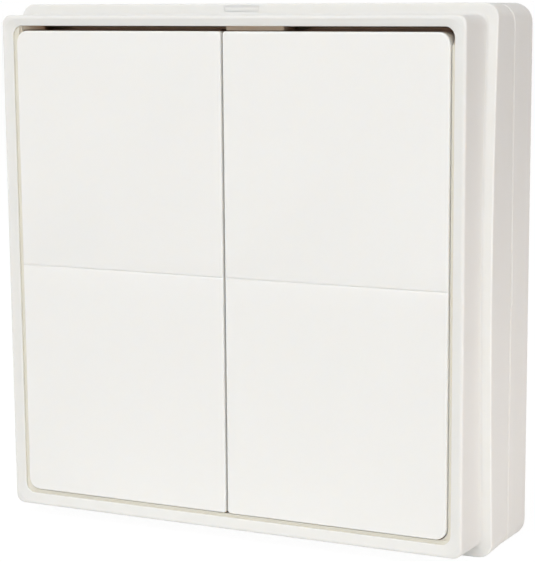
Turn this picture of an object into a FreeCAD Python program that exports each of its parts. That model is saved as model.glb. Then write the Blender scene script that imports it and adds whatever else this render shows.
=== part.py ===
# Wireless wall switch with two tilting rocker keys.
# Millimetres. X to the right, Z up, the front faces -Y. The wall plane is Y = 0.
import FreeCAD
import Part
import os
from math import cos, pi, radians, sin, sqrt, tan

V = FreeCAD.Vector
os.makedirs("parts", exist_ok=True)

# Outer form
base_size = 86.0            # width and height of the base
base_corner_r = 3.0         # corners of the base, seen from the front
step_width = 1.78           # step between the base and the neck
neck_corner_r = 2.2         # outer corners of the neck
neck_depth = 7.0            # rim to step, at the middle of a side
side_depth = 8.1            # step to seam, at the middle of a side
dome_r = 600.0              # the step is part of a sphere, so it is arched
cove_r = 0.7                # hollow corner where the neck meets the step
step_edge_r = 0.25          # outer edge of the step
wall = 1.8                  # side walls and plate floor
edge_r = 0.4                # softened outer edges

# Rim and opening
rim_width = 1.95
rim_fall = 0.35             # the rim slopes in by this much towards the keys
rim_crest = 0.55            # flat crest, before its outer edge is rounded
opening_corner_r = 1.6

# Seam between housing and wall plate
seam_gap = 0.06
seam_chamfer = 0.4
pry_length = 9.0            # pry notch in the seam, on both sides
pry_depth = 0.75
pry_reach = 1.2
pry_z = 0.5
pry_round = 0.65
tongue_wall = 1.0           # locating tongue on the back of the housing
tongue_height = 1.9
tongue_gap = 0.2
bead_length = 12.0          # snap beads on the tongue
bead_height = 0.35
bead_width = 0.6
bead_gap = 0.1

# Release slot in the top of the step, and the latch that ends in it
slot_width = 6.1
slot_height = 0.85
slot_skin = 0.4             # wall left outside the slot
slot_depth = 1.7            # before it opens into the latch pocket
latch_gap = 0.12
latch_recess = 0.15         # end of the latch below the step
latch_side_gap = 0.5
latch_root = 1.8

# Rocker keys
rocker_gap = 0.7            # round the pair of keys
rocker_split = 0.43         # between the two keys
rocker_recess = 0.3         # keys below the crest of the rim
rocker_face = 1.8           # thickness behind the face
rocker_skirt = 1.2
rocker_depth = 4.0
rocker_corner_r = 1.9       # outer corners
rocker_inner_corner_r = 0.5
rocker_edge_r = 0.25
rocker_rib = 1.0
rocker_rib_height = 1.4
crease_half_width = 0.28
crease_depth = 0.16
crease_outer_margin = 0.4
crease_inner_margin = 0.3
tilt_limit = 1.5            # degrees each way

# Pivots
pivot_setback = 5.6         # pin axis behind the crest of the rim
pin_r = 1.0
pin_chamfer = 0.2
pin_seat_gap = 0.02
pin_run_gap = 0.05
ear_spread = 12.3           # from the middle of a key
ear_width = 2.0
ear_r = 2.4
ear_clearance = 2.0         # ear to carrier
lug_width = 2.4
lug_r = 2.4
lug_gap = 0.3

# Rocker carrier
carrier_plate = 1.6
carrier_gap = 0.3
window_half_width = 5.4     # cut-out in its top edge
window_drop = 3.0
stop_length = 3.0
stop_clearance = 0.05
stop_inset = 4.5            # from the ends of the keys
rib_width = 1.2
rib_height = 1.0

# Press points: plungers, springs and contact domes
press_inset = 10.57         # from the ends of the keys
pad_r = 2.5
pad_depth = 3.9             # from the key's face to the pad's flat end
plunger_gap = 0.05
plunger_ball_r = 3.0        # rounded end that the key presses
plunger_head = 0.9
flange_r = 3.7
flange_thick = 0.8
stem_r = 2.0
stem_run_gap = 0.05
stem_tip_r = 1.2
stem_tip = 1.0
guide_wall = 0.7
guide_front = 0.8           # guide tube in front of the carrier
guide_end_gap = 0.85        # guide tube to contact dome
spring_wire_r = 0.22
spring_bore_gap = 0.25
spring_turns = 3.5
spring_arcs = 4             # pairs of arcs that make one turn
spring_end_gap = 0.05
dome_cap_r = 3.6
dome_cap_height = 0.35
dome_cap_sheet = 0.1
dome_cap_travel = 0.28

# Shelf, circuit board and screws
shelf_thick = 1.6
shelf_land = 3.5            # of the board on the shelf
standoff_height = 0.8
standoff_r = 2.3
board_gap = 1.0
board_thick = 1.2
board_corner_r = 2.5
board_screw_inset = 2.2
carrier_screw_z = 22.0
screw_r = 1.0
screw_hole_gap = 0.03
screw_head_r = 1.6
screw_head = 1.1
screw_past_shelf = 0.1
recess_half_width = 0.25
recess_half_length = 1.0
recess_depth = 0.5

# Coin cell and its holder
cell_drop = 14.0            # middle of the cell below the middle of the switch
cell_r = 12.25
cell_thick = 5.0
cell_rim_r = 10.6           # of the raised negative side
cell_rim_height = 0.4
holder_gap = 0.3
holder_wall = 1.2
holder_base = 0.5
holder_height = 4.0
holder_hole_r = 6.0
contact_sheet = 0.15
contact_r = 8.5
contact_hole_r = 4.3
clip_width = 5.0
clip_sheet = 0.3
clip_lap = 2.0
clip_gap = 0.05
floor_gap = 0.25            # cell clip to the floor of the wall plate

# Radio and small components, behind the board
radio_inset = 8.0           # its upper edge below the top of the board
radio_width = 16.0
radio_height = 24.0
radio_board = 0.8
radio_margin = 1.0
shield_width = 12.6
shield_height = 14.0
shield_depth = 2.2
shield_sheet = 0.3
antenna_width = 9.0
antenna_height = 2.4
antenna_depth = 1.2
chip_size = 7.0
chip_depth = 1.2
chip_chamfer = 0.3
chip_x = 20.0               # from the middle of the board
chip_z = 12.0
crystal_width = 3.2
crystal_height = 2.5
crystal_depth = 0.8
crystal_x = 12.0
capacitor_width = 2.0
capacitor_height = 1.3
capacitor_depth = 1.2
capacitor_count = 4
resistor_width = 1.6
resistor_height = 0.8
resistor_depth = 0.5
resistor_count = 6
small_pitch = 3.4
column_pitch = 6.8

# Wall plate
wall_screw_pitch = 60.3
wall_slot_r = 2.2
wall_slot_length = 8.0
floor_rib = 1.2
floor_rib_height = 1.5
tape_width = 60.0           # two shallow recesses in the back, for adhesive pads
tape_height = 20.0
tape_z = 24.0
tape_corner_r = 2.0
tape_recess = 0.4

# How far cutters pass a face, how far joined shapes sink into each other, and
# how close an edge lies to the face that it is looked for on
past = 1.0
bite = 0.1
near = 1e-3

# Depths worked out from the front backwards
carrier_setback = pivot_setback + ear_r + ear_clearance
board_setback = carrier_setback + carrier_plate + shelf_thick + standoff_height
cell_setback = board_setback + board_thick + holder_base + contact_sheet + clip_gap
total_depth = cell_setback + cell_thick + clip_gap + clip_sheet + floor_gap + wall
front_y = -total_depth
step_y = front_y + neck_depth
seam_y = step_y + side_depth
floor_y = -wall
carrier_y = front_y + carrier_setback
shelf_y = carrier_y + carrier_plate
shelf_back_y = shelf_y + shelf_thick
board_y = front_y + board_setback
board_back_y = board_y + board_thick
cell_y = front_y + cell_setback
face_y = front_y + rocker_recess
skirt_y = face_y + rocker_depth
pivot_y = front_y + pivot_setback
tongue_end_y = seam_y + tongue_height

# Widths worked out from the outside inwards
base_half = base_size / 2
inner_half = base_half - wall
neck_half = base_half - step_width
opening_half = neck_half - rim_width
carrier_half = opening_half - carrier_gap
tongue_outer = inner_half - tongue_gap
tongue_inner = tongue_outer - tongue_wall
board_half = tongue_inner - board_gap
shelf_half = board_half - shelf_land
radio_top = board_half - radio_inset
radio_bottom = radio_top - radio_height
board_screw_at = board_half - board_screw_inset
carrier_screw_x = (shelf_half + carrier_half) / 2
dome_centre_y = step_y + sqrt(dome_r ** 2 - base_half ** 2)
slot_top = base_half - slot_skin
slot_bottom = slot_top - slot_height

# Keys and press points
rocker_half = opening_half - rocker_gap
key_middle = (rocker_half + rocker_split / 2) / 2
key_half = (rocker_half - rocker_split / 2) / 2
lug_offset = ear_spread + ear_width / 2 + lug_gap + lug_width / 2
press_z = rocker_half - press_inset
stop_z = rocker_half - stop_inset
press_travel = press_z * tan(radians(tilt_limit))
stop_travel = (stop_z + stop_length / 2) * tan(radians(tilt_limit))
pad_y = face_y + pad_depth
head_y = pad_y + plunger_gap
flange_y = head_y + plunger_head
flange_back_y = flange_y + flange_thick
dome_top_y = board_y - dome_cap_height
stem_end_y = dome_top_y - press_travel + dome_cap_travel
guide_r = stem_r + stem_run_gap + guide_wall

key_sides = [("left", -1), ("right", 1)]
press_ends = [("upper", 1), ("lower", -1)]
corners = [(-1, -1), (-1, 1), (1, -1), (1, 1)]
bead_sides = [(-1, 0), (1, 0), (0, -1)]


def box(x0, x1, y0, y1, z0, z1):
    low = V(min(x0, x1), min(y0, y1), min(z0, z1))
    return Part.makeBox(abs(x1 - x0), abs(y1 - y0), abs(z1 - z0), low)


def rod_y(radius, y0, y1, x=0.0, z=0.0):
    return Part.makeCylinder(radius, abs(y1 - y0), V(x, min(y0, y1), z), V(0, 1, 0))


def rod_x(radius, x0, x1, y, z):
    return Part.makeCylinder(radius, x1 - x0, V(x0, y, z), V(1, 0, 0))


def edges_along_y(shape):
    def is_along(edge):
        span = edge.BoundBox
        return span.YLength > shape.BoundBox.YLength / 2 and span.XLength + span.ZLength < near
    return [edge for edge in shape.Edges if is_along(edge)]


def edges_at_y(shape, y, reach=0.0):
    # flat edges at one depth that lie at least this far out
    def is_there(edge):
        span = edge.BoundBox
        out = max(abs(span.XMin), abs(span.XMax), abs(span.ZMin), abs(span.ZMax))
        return max(abs(span.YMin - y), abs(span.YMax - y)) < near and out > reach
    return [edge for edge in shape.Edges if is_there(edge)]


def prism(half_x, half_z, radius, y0, y1, x=0.0):
    block = box(x - half_x, x + half_x, y0, y1, -half_z, half_z)
    return block.makeFillet(radius, edges_along_y(block))


def square_wire(half, radius, y):
    block = prism(half, half, radius, y, y + past)
    front = [face for face in block.Faces if abs(face.CenterOfMass.y - y) < near]
    return front[0].OuterWire


def at_corners(x, z):
    return [(sx * x, sz * z) for sx, sz in corners]


def save(name, shape):
    solids = shape.removeSplitter().Solids
    shape = solids[0] if len(solids) == 1 else Part.makeCompound(solids)
    if not shape.isValid():
        print("not valid:", name)
    shape.exportStep("parts/" + name + ".step")
    print(name, len(solids), round(shape.Volume, 2))


# Front housing: rim, neck, arched step, side wall, shelf and tongue
def edges_on_dome(shape, half, radius):
    # edges on the dome that lie on a side or a corner of a rounded square
    corner_reach = sqrt(2) * (half - radius) + radius

    def is_there(edge):
        middle = edge.valueAt((edge.FirstParameter + edge.LastParameter) / 2)
        on_side = abs(max(abs(middle.x), abs(middle.z)) - half) < near
        on_corner = abs(sqrt(middle.x ** 2 + middle.z ** 2) - corner_reach) < near
        on_dome = abs((middle - V(0, dome_centre_y, 0)).Length - dome_r) < near
        return on_dome and (on_side or on_corner)
    return [edge for edge in shape.Edges if is_there(edge)]


def housing_outside():
    back_y = seam_y - seam_gap
    base = prism(base_half, base_half, base_corner_r, front_y, back_y)
    base = base.common(Part.makeSphere(dome_r, V(0, dome_centre_y, 0)))
    neck = prism(neck_half, neck_half, neck_corner_r, front_y, back_y)
    body = base.fuse(neck).removeSplitter()
    body = body.makeFillet(cove_r, edges_on_dome(body, neck_half, neck_corner_r))
    body = body.makeFillet(step_edge_r, edges_on_dome(body, base_half, base_corner_r))
    grow = rim_width - rim_crest
    inner_wire = square_wire(opening_half, opening_corner_r, front_y + rim_fall)
    outer_wire = square_wire(opening_half + grow, opening_corner_r + grow, front_y)
    body = body.cut(Part.makeLoft([inner_wire, outer_wire], True, True))
    return body.makeFillet(edge_r, edges_at_y(body, front_y, neck_half - near))


def snap_bead(side_x, side_z, grow):
    # a bead across the tongue, or the groove for it when it is grown
    half = bead_length / 2 + grow
    out = tongue_outer + bead_height + grow
    middle_y = seam_y + tongue_height / 2
    y0 = middle_y - bead_width / 2 - grow
    y1 = middle_y + bead_width / 2 + grow
    if side_x:
        return box(side_x * tongue_inner, side_x * out, y0, y1, -half, half)
    return box(-half, half, y0, y1, side_z * tongue_inner, side_z * out)


def latch_space():
    # the slot in the step, the pocket behind it and the break in the tongue
    pocket_half = slot_width / 2 + latch_side_gap
    slot = box(-slot_width / 2, slot_width / 2, front_y, shelf_back_y, slot_bottom, slot_top)
    pocket = box(-pocket_half, pocket_half, step_y + slot_depth, seam_y, slot_bottom, slot_top)
    gap = box(-pocket_half, pocket_half, shelf_back_y, tongue_end_y + past, tongue_inner - past, slot_top)
    return slot.fuse(pocket).fuse(gap)


def front_housing():
    body = housing_outside()
    tongue_corner_r = base_corner_r - wall
    body = body.fuse(prism(tongue_outer, tongue_outer, tongue_corner_r, shelf_y, tongue_end_y))
    for side_x, side_z in bead_sides:
        body = body.fuse(snap_bead(side_x, side_z, 0.0))
    body = body.cut(prism(opening_half, opening_half, opening_corner_r, front_y - past, shelf_y))
    body = body.cut(prism(shelf_half, shelf_half, opening_corner_r, shelf_y - past, tongue_end_y + past))
    body = body.cut(prism(tongue_inner, tongue_inner, opening_corner_r, shelf_back_y, tongue_end_y + past))
    for x, z in at_corners(board_screw_at, board_screw_at):
        body = body.fuse(rod_y(standoff_r, shelf_y, board_y, x, z))
        body = body.cut(rod_y(screw_r + screw_hole_gap, shelf_y - past, board_y + past, x, z))
    for x, z in at_corners(carrier_screw_x, carrier_screw_z):
        body = body.cut(rod_y(screw_r + screw_hole_gap, shelf_y - past, board_y, x, z))
    return body.cut(latch_space())


# Wall plate: shallow tray with the latch, screw slots and pry notches
def wall_slot(middle):
    straight = wall_slot_length / 2 - wall_slot_r
    slot = box(middle - straight, middle + straight, floor_y - past, past, -wall_slot_r, wall_slot_r)
    for x in (middle - straight, middle + straight):
        slot = slot.fuse(rod_y(wall_slot_r, floor_y - past, past, x))
    return slot


def pry_notch(side):
    notch_end = seam_y + pry_depth
    notch = box(side * (base_half - pry_reach), side * (base_half + past), seam_y - past, notch_end,
                pry_z - pry_length / 2, pry_z + pry_length / 2)
    ends = [edge for edge in edges_at_y(notch, notch_end) if edge.BoundBox.ZLength < near]
    return notch.makeFillet(pry_round, ends)


def latch():
    half = slot_width / 2 - latch_gap
    middle_z = (slot_top + slot_bottom) / 2
    end_y = dome_centre_y - sqrt(dome_r ** 2 - middle_z ** 2) + latch_recess
    return box(-half, half, end_y, seam_y + latch_root, slot_bottom + latch_gap, slot_top - latch_gap)


def tape_pocket(z):
    pocket = prism(tape_width / 2, tape_height / 2, tape_corner_r, -tape_recess, past)
    pocket.translate(V(0, 0, z))
    return pocket


def wall_plate():
    body = prism(base_half, base_half, base_corner_r, seam_y, 0.0)
    body = body.makeChamfer(seam_chamfer, edges_at_y(body, seam_y))
    body = body.makeFillet(edge_r, edges_at_y(body, 0.0))
    body = body.cut(prism(inner_half, inner_half, base_corner_r - wall, seam_y - past, floor_y))
    for z in (-wall_screw_pitch / 2, wall_screw_pitch / 2):
        rib_y = floor_y - floor_rib_height
        body = body.fuse(box(-inner_half, inner_half, rib_y, floor_y, z - floor_rib / 2, z + floor_rib / 2))
    for side_x, side_z in bead_sides:
        body = body.cut(snap_bead(side_x, side_z, bead_gap))
    for side in (-1, 1):
        body = body.cut(wall_slot(side * wall_screw_pitch / 2))
        body = body.cut(pry_notch(side))
        body = body.cut(tape_pocket(side * tape_z))
    return body.fuse(latch())


# Rocker keys, each on two ears, with a pad over each press point
def key_blank(side):
    middle = side * key_middle
    body = box(middle - key_half, middle + key_half, face_y, skirt_y, -rocker_half, rocker_half)
    outer = [edge for edge in edges_along_y(body) if abs(edge.CenterOfMass.x) > key_middle]
    body = body.makeFillet(rocker_corner_r, outer)
    inner = [edge for edge in edges_along_y(body) if abs(edge.CenterOfMass.x) < rocker_split]
    body = body.makeFillet(rocker_inner_corner_r, inner)
    body = body.makeFillet(rocker_edge_r, edges_at_y(body, face_y))
    hollow = prism(key_half - rocker_skirt, rocker_half - rocker_skirt, rocker_corner_r - rocker_skirt,
                   face_y + rocker_face, skirt_y + past, middle)
    return body.cut(hollow)


def crease(side):
    # a shallow V across the face at mid-height
    x0 = side * (rocker_split / 2 + crease_inner_margin)
    x1 = side * (rocker_half - crease_outer_margin)
    bottom = V(x0, face_y + crease_depth, 0)
    sides = [V(x0, face_y - crease_depth, z) for z in (2 * crease_half_width, -2 * crease_half_width)]
    profile = Part.Face(Part.makePolygon([bottom] + sides + [bottom]))
    return profile.extrude(V(x1 - x0, 0, 0))


def rocker(side):
    middle = side * key_middle
    root_y = face_y + rocker_face - bite
    rib_y = face_y + rocker_face + rocker_rib_height
    half_rib = rocker_rib / 2
    reach = key_half - rocker_skirt / 2
    body = key_blank(side)
    body = body.fuse(box(middle - half_rib, middle + half_rib, root_y, rib_y, -press_z, press_z))
    for z in (-press_z / 2, press_z / 2):
        body = body.fuse(box(middle - reach, middle + reach, root_y, rib_y, z - half_rib, z + half_rib))
    for sign in (-1, 1):
        body = body.fuse(rod_y(pad_r, root_y, pad_y, middle, sign * press_z))
        x0 = middle + sign * ear_spread - ear_width / 2
        body = body.fuse(box(x0, x0 + ear_width, root_y, pivot_y, -ear_r, ear_r))
        body = body.fuse(rod_x(ear_r, x0, x0 + ear_width, pivot_y, 0.0))
    bore_half = ear_spread + ear_width
    body = body.cut(rod_x(pin_r + pin_run_gap, middle - bore_half, middle + bore_half, pivot_y, 0.0))
    return body.cut(crease(side))


def pivot_pin(side):
    middle = side * key_middle
    reach = lug_offset + lug_width / 2
    pin = rod_x(pin_r, middle - reach, middle + reach, pivot_y, 0.0)
    return pin.makeChamfer(pin_chamfer, [edge for edge in pin.Edges if edge.BoundBox.XLength < near])


# Carrier that holds the pivots, guides the plungers and stops the keys
def key_stops(middle):
    stop_y = skirt_y + stop_travel + stop_clearance
    half = rocker_skirt / 2
    reach = stop_length / 2
    posts = []
    for x in (middle - key_half + half, middle + key_half - half):
        for z in (-stop_z, stop_z):
            posts.append(box(x - half, x + half, stop_y, carrier_y + bite, z - reach, z + reach))
    return posts


def pivot_lugs(middle):
    lugs = []
    for sign in (-1, 1):
        x0 = middle + sign * lug_offset - lug_width / 2
        lugs.append(box(x0, x0 + lug_width, pivot_y, carrier_y + bite, -lug_r, lug_r))
        lugs.append(rod_x(lug_r, x0, x0 + lug_width, pivot_y, 0.0))
    return lugs


def rocker_carrier():
    body = prism(carrier_half, carrier_half, opening_corner_r - carrier_gap, carrier_y, shelf_y)
    guide_y = carrier_y - guide_front
    guide_end_y = dome_top_y - guide_end_gap
    rib_z = press_z - flange_r - rib_width
    for side in (-1, 1):
        middle = side * key_middle
        body = body.fuse(box(middle - rib_width / 2, middle + rib_width / 2, carrier_y - rib_height,
                             carrier_y + bite, -rib_z, rib_z))
        body = body.fuse(key_stops(middle) + pivot_lugs(middle))
        for z in (-press_z, press_z):
            body = body.fuse(rod_y(guide_r, guide_y, guide_end_y, middle, z))
            body = body.cut(rod_y(stem_r + stem_run_gap, guide_y - past, guide_end_y + past, middle, z))
        bore_half = lug_offset + lug_width
        body = body.cut(rod_x(pin_r + pin_seat_gap, middle - bore_half, middle + bore_half, pivot_y, 0.0))
    for x, z in at_corners(carrier_screw_x, carrier_screw_z):
        body = body.cut(rod_y(screw_r + screw_hole_gap, carrier_y - past, shelf_y + past, x, z))
    return body.cut(box(-window_half_width, window_half_width, carrier_y - past, shelf_y + past,
                        carrier_half - window_drop, carrier_half + past))


# Plungers, return springs and contact domes under the four press points
def plunger(x, z):
    ball = Part.makeSphere(plunger_ball_r, V(x, head_y + plunger_ball_r, z))
    body = ball.common(rod_y(pad_r, head_y - past, flange_y + bite, x, z))
    shoulder_y = stem_end_y - stem_tip
    body = body.fuse(rod_y(flange_r, flange_y, flange_back_y, x, z))
    body = body.fuse(rod_y(stem_r, flange_back_y - bite, shoulder_y, x, z))
    return body.fuse(rod_y(stem_tip_r, shoulder_y - bite, stem_end_y, x, z))


def arc_between(start, corner, end):
    # arc from start to end, tangent to the lines through the corner
    middle = (start + end) * 0.5
    weight = (start - middle).Length / (start - corner).Length
    return Part.Arc(start, (middle + corner * weight) * (1 / (1 + weight)), end).toShape()


def biarc(start, start_way, end, end_way):
    # two arcs that leave start and reach end along the given directions
    span = end - start
    ways = start_way + end_way
    a = 2 * (start_way.dot(end_way) - 1)
    b = -2 * span.dot(ways)
    reach = (-b - sqrt(b ** 2 - 4 * a * span.dot(span))) / (2 * a)
    first = start + start_way * reach
    last = end - end_way * reach
    meet = (first + last) * 0.5
    return [arc_between(start, first, meet), arc_between(meet, last, end)]


def return_spring(x, z):
    coil_r = guide_r + spring_bore_gap + spring_wire_r
    y0 = flange_back_y + spring_end_gap + spring_wire_r
    pitch = (carrier_y - spring_end_gap - spring_wire_r - y0) / spring_turns
    count = round(spring_turns * spring_arcs)
    angles = [2 * pi * spring_turns * i / count for i in range(count + 1)]
    places = [V(x + coil_r * cos(a), y0 + pitch * a / (2 * pi), z + coil_r * sin(a)) for a in angles]
    ways = [V(-coil_r * sin(a), pitch / (2 * pi), coil_r * cos(a)).normalize() for a in angles]
    edges = []
    for i in range(count):
        edges += biarc(places[i], ways[i], places[i + 1], ways[i + 1])
    circle = Part.makeCircle(spring_wire_r, places[0], ways[0])
    return Part.Wire(edges).makePipeShell([Part.Wire([circle])], True, False)


def contact_dome(x, z):
    ball_r = (dome_cap_r ** 2 + dome_cap_height ** 2) / (2 * dome_cap_height)
    outer = Part.makeSphere(ball_r, V(x, dome_top_y + ball_r, z))
    inner = Part.makeSphere(ball_r, V(x, dome_top_y + dome_cap_sheet + ball_r, z))
    return outer.cut(inner).common(rod_y(dome_cap_r, dome_top_y - past, board_y, x, z))


# Circuit board and screws
def circuit_board():
    body = prism(board_half, board_half, board_corner_r, board_y, board_back_y)
    for x, z in at_corners(board_screw_at, board_screw_at):
        body = body.cut(rod_y(screw_r + screw_hole_gap, board_y - past, board_back_y + past, x, z))
    return body


def screw(x, z, seat_y, end_y):
    # the head lies on seat_y and the shaft runs to end_y
    out = 1 if seat_y > end_y else -1
    top_y = seat_y + out * screw_head
    bottom_y = top_y - out * recess_depth
    body = rod_y(screw_head_r, seat_y, top_y, x, z).fuse(rod_y(screw_r, seat_y, end_y, x, z))
    for dx, dz in ((recess_half_length, recess_half_width), (recess_half_width, recess_half_length)):
        body = body.cut(box(x - dx, x + dx, bottom_y, top_y + out * past, z - dz, z + dz))
    return body


def board_screws():
    end_y = shelf_y + screw_past_shelf
    places = at_corners(board_screw_at, board_screw_at)
    return Part.makeCompound([screw(x, z, board_back_y, end_y) for x, z in places])


def carrier_screws():
    end_y = shelf_back_y + screw_past_shelf
    places = at_corners(carrier_screw_x, carrier_screw_z)
    return Part.makeCompound([screw(x, z, carrier_y, end_y) for x, z in places])


# Coin cell, its holder and its two contacts
def coin_cell_holder():
    floor = board_back_y + holder_base
    end_y = board_back_y + holder_height
    bore_r = cell_r + holder_gap
    outer_r = bore_r + holder_wall
    body = rod_y(outer_r, board_back_y, end_y, 0.0, -cell_drop)
    body = body.cut(rod_y(bore_r, floor, end_y + past, 0.0, -cell_drop))
    body = body.cut(rod_y(holder_hole_r, board_back_y - past, floor + past, 0.0, -cell_drop))
    half = clip_width / 2 + holder_gap
    top_z = -cell_drop + outer_r + past
    return body.cut(box(-half, half, floor, end_y + past, -cell_drop + contact_r, top_z))


def coin_cell():
    end_y = cell_y + cell_thick
    body = rod_y(cell_r, cell_y + cell_rim_height, end_y, 0.0, -cell_drop)
    body = body.makeFillet(edge_r, edges_at_y(body, end_y))
    return body.fuse(rod_y(cell_rim_r, cell_y, cell_y + cell_rim_height + bite, 0.0, -cell_drop))


def cell_negative_contact():
    y0 = board_back_y + holder_base
    body = rod_y(contact_r, y0, y0 + contact_sheet, 0.0, -cell_drop)
    return body.cut(rod_y(contact_hole_r, y0 - past, y0 + past, 0.0, -cell_drop))


def cell_positive_clip():
    half = clip_width / 2
    leg_z = -cell_drop + cell_r + clip_gap
    lap_y = cell_y + cell_thick + clip_gap
    leg = box(-half, half, board_back_y + holder_base, lap_y + clip_sheet, leg_z, leg_z + clip_sheet)
    return leg.fuse(box(-half, half, lap_y, lap_y + clip_sheet, leg_z - clip_lap, leg_z + clip_sheet))


# Radio and small components
def on_board(width, height, depth, x, z, y=board_back_y):
    return box(x - width / 2, x + width / 2, y, y + depth, z - height / 2, z + height / 2)


def radio_module():
    return on_board(radio_width, radio_height, radio_board, 0.0, (radio_top + radio_bottom) / 2)


def radio_shield():
    y = board_back_y + radio_board
    z = radio_bottom + radio_margin + shield_height / 2
    body = on_board(shield_width, shield_height, shield_depth, 0.0, z, y)
    body = body.makeFillet(edge_r, edges_along_y(body))
    inside = on_board(shield_width - 2 * shield_sheet, shield_height - 2 * shield_sheet,
                      shield_depth - shield_sheet, 0.0, z, y)
    return body.cut(inside)


def antenna():
    z = radio_top - radio_margin - antenna_height / 2
    return on_board(antenna_width, antenna_height, antenna_depth, 0.0, z, board_back_y + radio_board)


def controller_chip():
    body = on_board(chip_size, chip_size, chip_depth, -chip_x, chip_z)
    return body.makeChamfer(chip_chamfer, edges_at_y(body, board_back_y + chip_depth))


def column(count, width, height, depth, x):
    places = [chip_z - i * small_pitch for i in range(count)]
    return Part.makeCompound([on_board(width, height, depth, x, z) for z in places])


def capacitors():
    return column(capacitor_count, capacitor_width, capacitor_height, capacitor_depth, chip_x)


def resistors():
    return column(resistor_count, resistor_width, resistor_height, resistor_depth, chip_x + column_pitch)


save("front_housing", front_housing())
save("wall_plate", wall_plate())
save("rocker_carrier", rocker_carrier())
for side_name, side in key_sides:
    save(side_name + "_rocker", rocker(side))
    save(side_name + "_pivot_pin", pivot_pin(side))
    for end_name, end in press_ends:
        x = side * key_middle
        z = end * press_z
        name = end_name + "_" + side_name
        save(name + "_plunger", plunger(x, z))
        save(name + "_return_spring", return_spring(x, z))
        save(name + "_contact_dome", contact_dome(x, z))
save("circuit_board", circuit_board())
save("board_screws", board_screws())
save("carrier_screws", carrier_screws())
save("coin_cell_holder", coin_cell_holder())
save("coin_cell", coin_cell())
save("cell_negative_contact", cell_negative_contact())
save("cell_positive_clip", cell_positive_clip())
save("radio_module", radio_module())
save("radio_shield", radio_shield())
save("antenna", antenna())
save("controller_chip", controller_chip())
save("crystal", on_board(crystal_width, crystal_height, crystal_depth, -crystal_x, chip_z))
save("capacitors", capacitors())
save("resistors", resistors())
print("total depth", round(total_depth, 3), "seam y", round(seam_y, 3))
print("pivot x", round(key_middle, 4), "pivot y", round(pivot_y, 4))
print("press z", round(press_z, 3), "press travel", round(press_travel, 3))
spring_length = carrier_y - flange_back_y - 2 * (spring_end_gap + spring_wire_r)
print("gap between spring turns", round(spring_length / spring_turns - 2 * spring_wire_r, 3))
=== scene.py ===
import math
import bmesh
import bpy
from mathutils import Matrix, Vector


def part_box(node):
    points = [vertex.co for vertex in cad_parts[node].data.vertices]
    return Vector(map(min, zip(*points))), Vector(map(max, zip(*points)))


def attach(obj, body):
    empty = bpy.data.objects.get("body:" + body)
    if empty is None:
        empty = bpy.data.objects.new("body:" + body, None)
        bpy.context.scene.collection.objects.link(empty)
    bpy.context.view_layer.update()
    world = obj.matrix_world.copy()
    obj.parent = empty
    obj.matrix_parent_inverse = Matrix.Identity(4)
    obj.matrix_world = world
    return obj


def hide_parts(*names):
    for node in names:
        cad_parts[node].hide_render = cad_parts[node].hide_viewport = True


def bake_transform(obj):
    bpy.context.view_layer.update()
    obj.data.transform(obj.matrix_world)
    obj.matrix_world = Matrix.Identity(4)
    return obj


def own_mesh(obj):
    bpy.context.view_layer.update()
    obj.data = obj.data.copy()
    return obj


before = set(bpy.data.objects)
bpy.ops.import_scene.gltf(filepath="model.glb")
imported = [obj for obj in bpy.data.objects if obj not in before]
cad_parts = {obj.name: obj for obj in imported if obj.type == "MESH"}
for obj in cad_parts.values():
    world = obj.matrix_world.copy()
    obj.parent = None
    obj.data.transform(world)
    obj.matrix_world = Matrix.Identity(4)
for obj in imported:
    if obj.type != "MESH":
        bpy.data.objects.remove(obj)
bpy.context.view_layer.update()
mm = 0.001  # sizes are in millimetres, and the stage's in metres
past = 1.0  # how far a tool reaches past what it cuts
root = 0.3  # how far a joined shape reaches into what carries it
hair = 0.001  # keeps two faces out of one plane
leastR = 0.05  # smallest radius of a corner in plan
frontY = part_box("front_housing")[0].y / mm  # crest of the rim
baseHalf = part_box("wall_plate")[1].x / mm
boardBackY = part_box("circuit_board")[1].y / mm


def boxOf(node):
    return [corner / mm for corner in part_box(node)]


def evenly(half, count):
    return [half * k / count for k in range(-count, count + 1)]


# The outline of a rounded rectangle, clockwise from the left end of its top side
def outline(middle, halves, radii, stops=((), ()), cornerSteps=8):
    points = []
    ways = [Vector(way) for way in ((1, 0), (0, -1), (-1, 0), (0, 1))]
    for side in range(4):
        along, out = ways[side], ways[side - 1]
        length, reach = halves[side % 2], halves[(side + 1) % 2]
        start, end = radii[side], radii[(side + 1) % 4]
        for stop in [start - length, *stops[side % 2], length - end]:
            points.append(middle + along * stop + out * reach)
        pivot = middle + along * (length - end) + out * (reach - end)
        for step in range(1, cornerSteps):
            turn = math.pi / 2 * step / cornerSteps
            points.append(pivot + (out * math.cos(turn) + along * math.sin(turn)) * end)
    return points


# Lifts the top of an outline, from nothing at height start to all of it at height end
def liftTop(points, lift, start, end):
    for p in points:
        p.y += lift * max(p.y - start, 0) / (end - start)


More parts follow.
